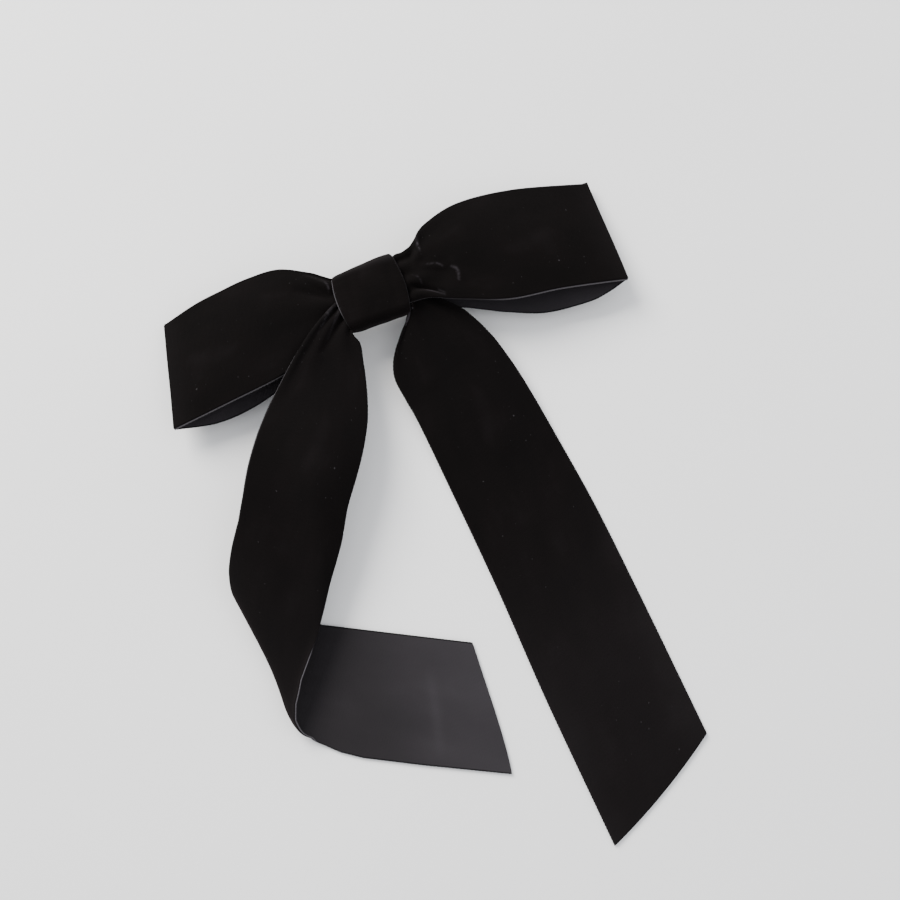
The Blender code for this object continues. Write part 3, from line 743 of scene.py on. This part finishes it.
def right_tail(materials):
    """From under the right loop down to the floor, then flat to its slanted cut."""
    distance = columns(RIBBON_WIDTH)
    v = distance / RIBBON_WIDTH
    left, right = (
        even_line(smooth_curve(edge), TAIL_STEPS) for edge in (RIGHT_TAIL_LEFT, RIGHT_TAIL_RIGHT)
    )
    rows = even_rows(between(left, right, v))
    along = middle_length(rows)
    rows = bowed_end(rows, v)
    relief = pleats(rows, distance, 1.0, 26, 2.5, 0.3)
    free = smooth_step((along - 20) / 40)[:, None] * smooth_step((110 - along) / 60)[:, None]
    relief += free * RIGHT_TAIL_CROWN * np.sin(math.pi * v[None])
    laid = smooth_step((along - 110) / 60)[:, None]
    wavy = soft_noise(rows[:, :, 0], rows[:, :, 1], 21, 60)
    relief += (1 - laid) * 0.3 * wavy + laid * 0.12 * (1 + wavy)
    # Painted shade on the lying tail's selvages; its pile gets painted light toward the end.
    obj = ribbon(
        "ribbon_right_tail", rows, distance, RIBBON_WIDTH, materials, -1, relief,
        brushed=painted_tail_light(along, distance), selvage_light=SELVAGE_IN_SHADE,
    )
    return obj, along[-1]


def fold_under(flat):
    """Points of the flat ribbon rolled round the cone, and how far each has still to go to it."""
    forward = np.array([math.cos(FOLD_ANGLE), math.sin(FOLD_ANGLE), 0])
    outward = np.array([-forward[1], forward[0], 0])
    flat = flat - FOLD_APEX
    far = np.linalg.norm(flat, axis=-1)
    turn = np.arctan2(flat @ outward, flat @ forward)
    half_round = math.pi * math.sin(FOLD_CONE)
    top = math.cos(2 * FOLD_CONE) * forward + math.sin(2 * FOLD_CONE) * UP
    above = np.cos(turn)[..., None] * top + np.sin(turn)[..., None] * outward
    under = turn - half_round
    beneath = np.cos(under)[..., None] * forward - np.sin(under)[..., None] * outward
    angle = turn / math.sin(FOLD_CONE)
    axis = math.cos(FOLD_CONE) * forward + math.sin(FOLD_CONE) * UP
    radial = -math.sin(FOLD_CONE) * forward + math.cos(FOLD_CONE) * UP
    spread = np.cos(angle)[..., None] * radial + np.sin(angle)[..., None] * outward
    rolled = math.cos(FOLD_CONE) * axis + math.sin(FOLD_CONE) * spread
    ray = np.where((turn <= 0)[..., None], above, np.where((under >= 0)[..., None], beneath, rolled))
    swell = FOLD_SWELL * np.exp(-(((far - FOLD_SWELL_AT) / FOLD_SWELL_REACH) ** 2))
    swell = swell * np.exp(-(((turn - half_round / 2) / FOLD_SWELL_TURN) ** 2))
    place = FOLD_APEX + far[..., None] * ray + swell[..., None] * outward
    place[..., 2] = place[..., 2] * FOLD_FLATTEN + REST_HEIGHT
    return place, -far * np.sin(turn)


def left_tail_rows(v):
    """The left tail's middle surface, with the distance of each row along it: its neck, its
    flare, and the lying ribbon with its fold."""
    neck = between(smooth_curve(NECK_LEFT), smooth_curve(NECK_RIGHT), v)
    down = np.array([math.sin(TAIL_HEADING), -math.cos(TAIL_HEADING), 0])
    side = np.array([down[1], -down[0], 0])
    u = np.linspace(0, 1, TAIL_STEPS)[:, None]
    s = u * (TAIL_LEFT_LENGTH + (TAIL_RIGHT_LENGTH - TAIL_LEFT_LENGTH) * v[None])
    across = np.broadcast_to((0.5 - v[None]) * RIBBON_WIDTH, s.shape)
    flat = TAIL_POINT + down * (s + TAIL_START)[..., None] + side * across[..., None]
    laid, to_fold = fold_under(flat)
    curl = np.array(FOLD_CURL, float)
    inward = np.clip((v - CURL_FROM) / (1 - CURL_FROM), 0, 1) ** CURL_POWER
    for axis in range(3):
        laid[..., axis] += np.interp(s, curl[:, 0], curl[:, axis + 1]) * inward[None]
    arched = smooth_step(to_fold / TAIL_ARCH_REACH)
    drawn_in = np.where(v > 0.5, DRAWN_IN_RIGHT, DRAWN_IN_LEFT) * (2 * v - 1)
    laid = laid + side * (arched * drawn_in[None])[..., None]
    laid[..., 2] += arched * TAIL_ARCH * (1 - (2 * v[None] - 1) ** 2)
    first, last = np.array(NECK_LEFT[-1]), np.array(NECK_RIGHT[-1])
    start = first + (last - first) * v[:, None]
    reach = FLARE_LEFT + (FLARE_RIGHT - FLARE_LEFT) * v[:, None]
    reaching = start[None] + reach[None] * s[..., None]
    share = smooth_step(s / TAIL_FLARE)[..., None]
    wave = np.array(TAIL_WAVE, float)
    shift = np.interp(s, wave[:, 0], wave[:, 1]) * (1 - v[None]) ** WAVE_POWER
    shift -= np.interp(s, wave[:, 0], wave[:, 2]) * v[None] ** WAVE_POWER
    tail = reaching * (1 - share) + laid * share + side * shift[..., None]
    rows = even_rows(np.vstack([neck, tail[1:]]))
    along = middle_length(rows)
    neck_end = np.searchsorted(along, middle_length(neck)[-1])
    return smooth_rows(rows, neck_end, 16, 90), along


def left_tail(materials):
    """Over the left loop, down to the floor, and folded under so that its reverse shows."""
    distance = columns(RIBBON_WIDTH)
    v = distance / RIBBON_WIDTH
    rows, along = left_tail_rows(v)
    relief = pleats(rows, distance, 1.1, 24, 3.0, 0.15)
    at_knot = (along < 60)[:, None]
    relief += fold_line(rows, (-33, -14), (-18, -2), 1.6, 0.7) * at_knot
    relief += fold_line(rows, (-28, -18), (-16, -6), 1.7, -0.8) * at_knot
    free = smooth_step((140 - along) / 60)[:, None] * smooth_step(along / 30)[:, None]
    relief += free * 0.35 * soft_noise(rows[:, :, 0], rows[:, :, 1], 31, 55)
    # Painted highlights along the crease ridges beside the knot.
    crease_highlight = at_knot * (
        crease_mark(rows, [(-16, 0.2), (-21, -3.5), (-27, -10)], 0.42, 0.6)
        + crease_mark(rows, [(-15.5, -3.4), (-19, -7), (-24, -13)], 0.42, 0.4)
    )
    # Painted shade on the reverse: dark toward the fold, paler toward the cut end, with a pale streak.
    from_end = smooth_step((along[-1] - along) / 62)[:, None]
    reverse_paleness = 0.92 - 0.9 * from_end + crease_mark(rows, STREAK, 2.2, 0.35)
    # The selvage shows pale by the fold and along the left edge near the knot, where the light catches
    # it; elsewhere it is painted shade.
    by_fold = smooth_step((along - 110) / 30)[:, None] * smooth_step((v - 0.5) / 0.3)[None]
    by_knot = smooth_step((105 - along) / 40)[:, None] * (v < 0.5)[None]
    selvage_light = SELVAGE_IN_SHADE + (1 - SELVAGE_IN_SHADE) * np.maximum(by_fold, 0.75 * by_knot)
    obj = ribbon(
        "ribbon_left_tail", rows, distance, RIBBON_WIDTH, materials, -1, relief, crease_highlight,
        painted_tail_light(along, distance), reverse_paleness, selvage_light,
    )
    return obj, along[-1]


# ---------------------------------------------------------------- knot

WRAP_WIDTH = 27.0
WRAP_SHIFT = -0.4
WRAP_MID_Y = 0.05
WRAP_HALF_HEIGHT = 11.95
WRAP_LOW, WRAP_HIGH = 11.9, 19.9
WRAP_RADIUS = 3.3
WRAP_RAISE, WRAP_TILT = 0.85, 0.09
WRAP_BACK = 11.5
WRAP_LAP_Y, WRAP_LAP_Z = -7.4, 11.6
WRAP_STEP = 0.35
WRAP_CROWN, WRAP_FLARE = 0.7, 1.5
WRAP_PUFF = 0.75
CORE_HALF_LENGTH = 12.6
CORE_MID_Y, CORE_MID_Z = -0.6, 15.9
CORE_HALF_Y, CORE_HALF_Z = 9.2, 2.1
CORE_WAIST_Y, CORE_WAIST_Z, CORE_WAIST_REACH = 1.0, 0.38, 4.2
CORE_FOLDS = 15
CORE_ROWS, CORE_STEPS_PER_FOLD = 74, 16
CORE_FOLD_SHARPNESS = 2.2


def corner(path, mid_y, mid_z, start_deg):
    """Adds a rounded corner of the wrap, turning a quarter round from the given angle."""
    for step in range(1, 9):
        angle = math.radians(start_deg + 90 * step / 8)
        y = mid_y + WRAP_RADIUS * math.cos(angle)
        path.append((y, mid_z + WRAP_RADIUS * math.sin(angle)))


def wrap_line():
    """Once round the knot as (y, z): flat on the glue, up, over the front and down to the lap."""
    top, bottom = WRAP_MID_Y + WRAP_HALF_HEIGHT, WRAP_MID_Y - WRAP_HALF_HEIGHT
    upper, lower = top - WRAP_RADIUS, bottom + WRAP_RADIUS
    front, back = WRAP_HIGH - WRAP_RADIUS, WRAP_LOW + WRAP_RADIUS
    path = [
        (bottom + 1.6, 12.5), (bottom + 4.2, 12.45), (-5.2, 11.9), (-3.4, WRAP_BACK),
        (3.4, WRAP_BACK), (5.6, 11.7), (upper, WRAP_LOW),
    ]
    corner(path, upper, back, -90)
    path.append((top, front))
    corner(path, upper, front, 0)
    for y in np.linspace(upper - 2, lower + 2, 9):
        path.append((y, WRAP_HIGH + WRAP_CROWN * (1 - ((y - WRAP_MID_Y) / 9.5) ** 2)))
    corner(path, lower, front, 90)
    path.append((bottom, back - 0.2))
    corner(path, lower, back - 0.3, 180)
    path.append((WRAP_LAP_Y, WRAP_LAP_Z))
    return path


def centre_wrap(materials):
    """A narrower ribbon wound once round the knot, its end lapped over the start at the back."""
    line = smooth_curve([(0, y, z) for y, z in wrap_line()], 12)
    distance = columns(WRAP_WIDTH)
    rows = np.repeat(line[:, None], len(distance), 1)
    t = (distance / WRAP_WIDTH * 2 - 1)[None]
    from_mid = np.clip((rows[:, :, 1] - WRAP_MID_Y) / WRAP_HALF_HEIGHT, -1, 1)
    swell = WRAP_FLARE * (1 - from_mid**2)
    on_front = smooth_step((rows[:, :, 2] - 15) / 3)
    rows[:, :, 0] = WRAP_SHIFT + t * (WRAP_WIDTH / 2 + swell * on_front)
    upper = smooth_step((rows[:, :, 1] - 2) / 8) * on_front
    rows[:, :, 1] += (WRAP_RAISE + WRAP_TILT * rows[:, :, 0]) * upper
    rows = even_rows(rows, WRAP_STEP)
    y, z = rows[:, :, 1], rows[:, :, 2]
    off_back = smooth_step((z - 12.6) / 2)
    relief = WRAP_PUFF * (1 - np.abs(t) ** 8) * off_back
    relief = relief + 0.16 * soft_noise(rows[:, :, 0], y, 41, 14) * off_back
    in_front = z > 17
    relief += fold_line(rows, (-9, -11), (-7, 9), 1.1, -0.3) * in_front
    relief += fold_line(rows, (8.2, -9), (9.8, 8), 1.2, -0.4) * in_front
    relief += fold_line(rows, (-3.5, -10), (1.5, -4), 1.6, -0.22) * in_front
    top = WRAP_MID_Y + WRAP_HALF_HEIGHT
    # Painted highlight along the wrap's top edge, where the pile catches the light.
    brushed = 0.4 * np.exp(-(((y - top) / 1.7) ** 2)) * smooth_step((z - 16) / 2)
    # Only the wrap's left selvage, facing the light, shows pale; the right one is painted shade.
    left_edge = (t < 0) * smooth_step((z - 14) / 3) * smooth_step((y + 9) / 6)
    obj = ribbon(
        "ribbon_centre_wrap", rows, distance, WRAP_WIDTH, materials, -1, relief,
        brushed=brushed, selvage_light=SELVAGE_IN_SHADE + (1 - SELVAGE_IN_SHADE) * left_edge,
    )
    return obj, middle_length(rows)[-1]


def gathered_core(materials):
    """The middle of the ribbon, gathered in narrow folds and drawn in under the thread."""
    x = np.linspace(-CORE_HALF_LENGTH, CORE_HALF_LENGTH, CORE_ROWS)[:, None]
    w = np.linspace(0, 1, CORE_STEPS_PER_FOLD * CORE_FOLDS + 1)[None]
    waist = np.exp(-((x / CORE_WAIST_REACH) ** 2))
    half_y = CORE_HALF_Y - CORE_WAIST_Y * waist + 0.25 * np.sin(x * 0.9)
    half_z = CORE_HALF_Z - CORE_WAIST_Z * waist
    swing = np.sin(math.pi * CORE_FOLDS * w + 0.35 * np.sin(x * 0.5 + 9 * w))
    fold = np.tanh(CORE_FOLD_SHARPNESS * swing) / math.tanh(CORE_FOLD_SHARPNESS)
    envelope = np.sqrt(np.clip(1 - 0.86 * (2 * w - 1) ** 2, 0, 1))
    rows = np.stack([
        np.broadcast_to(x, (x.shape[0], w.shape[1])),
        CORE_MID_Y + half_y * (2 * w - 1),
        CORE_MID_Z + half_z * envelope * fold,
    ], 2)
    distance = lengths_along(rows[len(rows) // 4])
    obj = ribbon(
        "ribbon_gathered_core", rows, distance, distance[-1], materials, 1, selvage_light=SELVAGE_IN_SHADE
    )
    return obj, distance[-1]


# ---------------------------------------------------------------- pieces on the frame

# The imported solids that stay: (node, material, slot, width of the rounded edges in metres)
METAL_AND_THREAD = [
    ("top_bar", "nickel", "plated_steel", 0.00015), ("hinge_rivet", "nickel", "plated_steel", 0.0001),
    ("clasp_arm", "nickel", "plated_steel", 0.00015), ("tension_bar", "spring", "spring_steel", 0.0001),
    ("catch_tab_front", "spring", "spring_steel", 0.0001),
    ("catch_tab_rear", "spring", "spring_steel", 0.0001), ("glue_pad", "glue", "set_glue", 0.0001),
    ("gathering_thread", "thread", "thread", 0), ("wrap_stitches", "thread", "thread", 0),
]


def ribbon_materials():
    """The ribbon's materials, in the order PILE, WEAVE, LIP, RIM, FRINGE."""
    return [
        velvet_pile("velvet_pile"), plain_weave("ribbon_reverse"),
        selvage_thread("selvage_lip", 0.75), selvage_thread("selvage_rim", 1.0),
        selvage_thread("pile_fringe", 0.06),
    ]


def place_ribbons():
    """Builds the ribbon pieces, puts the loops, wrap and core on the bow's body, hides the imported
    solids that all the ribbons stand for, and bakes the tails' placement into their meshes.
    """
    cloth = ribbon_materials()
    wrap_cloth = [velvet_pile("wrap_pile", 1.25), *cloth[1:]]
    right, right_length = right_loop(cloth)
    left, left_length = left_loop(cloth)
    tail_right, tail_right_length = right_tail(cloth)
    tail_left, tail_left_length = left_tail(cloth)
    wrap, wrap_length = centre_wrap(wrap_cloth)
    core, core_width = gathered_core(cloth)
    for obj, solid in (
        (right, "right_loop"), (left, "left_loop"), (wrap, "centre_wrap"), (core, "pinched_centre"),
    ):
        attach(obj, "bow")
        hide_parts(solid)
    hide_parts("left_tail_neck", "left_tail")
    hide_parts("right_tail_neck", "right_tail")
    for obj, body, joint in (
        (tail_left, "left_tail_ribbon", "left_tail_lift"),
        (tail_right, "right_tail_ribbon", "right_tail_lift"),
    ):
        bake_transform(obj)


def finish_solids():
    """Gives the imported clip, glue and threads their materials and rounds their edges."""
    materials = {
        "nickel": plated_metal("nickel_plate", (0.62, 0.61, 0.59), 0.24, False),
        "spring": plated_metal("spring_plate", (0.55, 0.55, 0.54), 0.3, True),
        "glue": set_glue("set_glue"),
        "thread": sewing_thread("sewing_thread"),
    }
    for name, material, slot, edge in METAL_AND_THREAD:
        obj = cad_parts[name]
        obj.data.materials.clear()
        obj.data.materials.append(materials[material])
        if edge:
            bevel = obj.modifiers.new("edge", "BEVEL")
            bevel.width = edge
            bevel.segments = 3
            bevel.limit_method = "ANGLE"


# ---------------------------------------------------------------- floor, light and camera

FLOOR_HALF, FLOOR_Z = 3.0, -0.0001
CAMERA_ROLL, CAMERA_TILT = math.radians(20), math.radians(14)
CAMERA_AIM = Vector((0.00923, -0.07082, 0))
CAMERA_DISTANCE = 0.5
CAMERA_LENS, CAMERA_SENSOR = 47.4, 36


def link(name, data):
    obj = bpy.data.objects.new(name, data)
    bpy.context.scene.collection.objects.link(obj)
    return obj


def paper_floor():
    """A pale paper floor just under the bow."""
    mat, tree, shader = shader_of("pale_paper")
    where = object_coordinates(tree)
    cloudy = noise(tree, where, 6, 3)
    base = ramp(tree, cloudy, [(0.3, (0.86, 0.855, 0.845)), (0.7, (0.89, 0.885, 0.875))])
    tree.links.new(base, shader.inputs["Base Color"])
    shader.inputs["Roughness"].default_value = 0.85
    bump(tree, shader, noise(tree, where, 900, 4), 0.0002, 0.15)
    mesh = bpy.data.meshes.new("floor")
    corners = [(-1, -1), (1, -1), (1, 1), (-1, 1)]
    points = [(FLOOR_HALF * x, FLOOR_HALF * y, FLOOR_Z) for x, y in corners]
    mesh.from_pydata(points, [], [(0, 1, 2, 3)])
    mesh.materials.append(mat)
    link("floor", mesh)


def area_light(name, place, size, power, colour):
    """A round soft light at a place seen from the camera's aim, turned towards it."""
    data = bpy.data.lights.new(name, "AREA")
    data.shape = "DISK"
    data.size = size
    data.energy = power
    data.color = colour
    light = link(name, data)
    light.location = CAMERA_AIM + place
    light.rotation_mode = "QUATERNION"
    light.rotation_quaternion = (-place).to_track_quat("-Z", "Y")


def stage_and_camera():
    """The floor, two soft lights, a pale room, and the camera nearly above the bow."""
    up = Vector((0, 0, 1))
    right = Vector((math.cos(CAMERA_ROLL), -math.sin(CAMERA_ROLL), 0))
    ahead = Vector((math.sin(CAMERA_ROLL), math.cos(CAMERA_ROLL), 0))
    towards = math.cos(CAMERA_TILT) * up - math.sin(CAMERA_TILT) * ahead
    image_up = math.cos(CAMERA_TILT) * ahead + math.sin(CAMERA_TILT) * up
    paper_floor()
    area_light("key", -0.75 * right + 0.75 * ahead + 0.9 * up, 0.9, 36, (1, 0.985, 0.96))
    area_light("fill", 0.9 * right - 0.3 * ahead + 0.9 * up, 1.4, 6, (0.95, 0.975, 1))
    world = bpy.data.worlds.new("soft_room")
    world.use_nodes = True
    background = world.node_tree.nodes["Background"]
    background.inputs["Color"].default_value = (0.93, 0.95, 1.0, 1)
    background.inputs["Strength"].default_value = 1.1
    bpy.context.scene.world = world

    data = bpy.data.cameras.new("camera")
    data.lens = CAMERA_LENS
    data.sensor_width = CAMERA_SENSOR
    camera = link("camera", data)
    turn = Matrix((right, image_up, towards)).transposed()
    place = CAMERA_AIM + CAMERA_DISTANCE * towards
    camera.matrix_world = Matrix.Translation(place) @ turn.to_4x4()
    bpy.context.scene.camera = camera


place_ribbons()
finish_solids()
stage_and_camera()
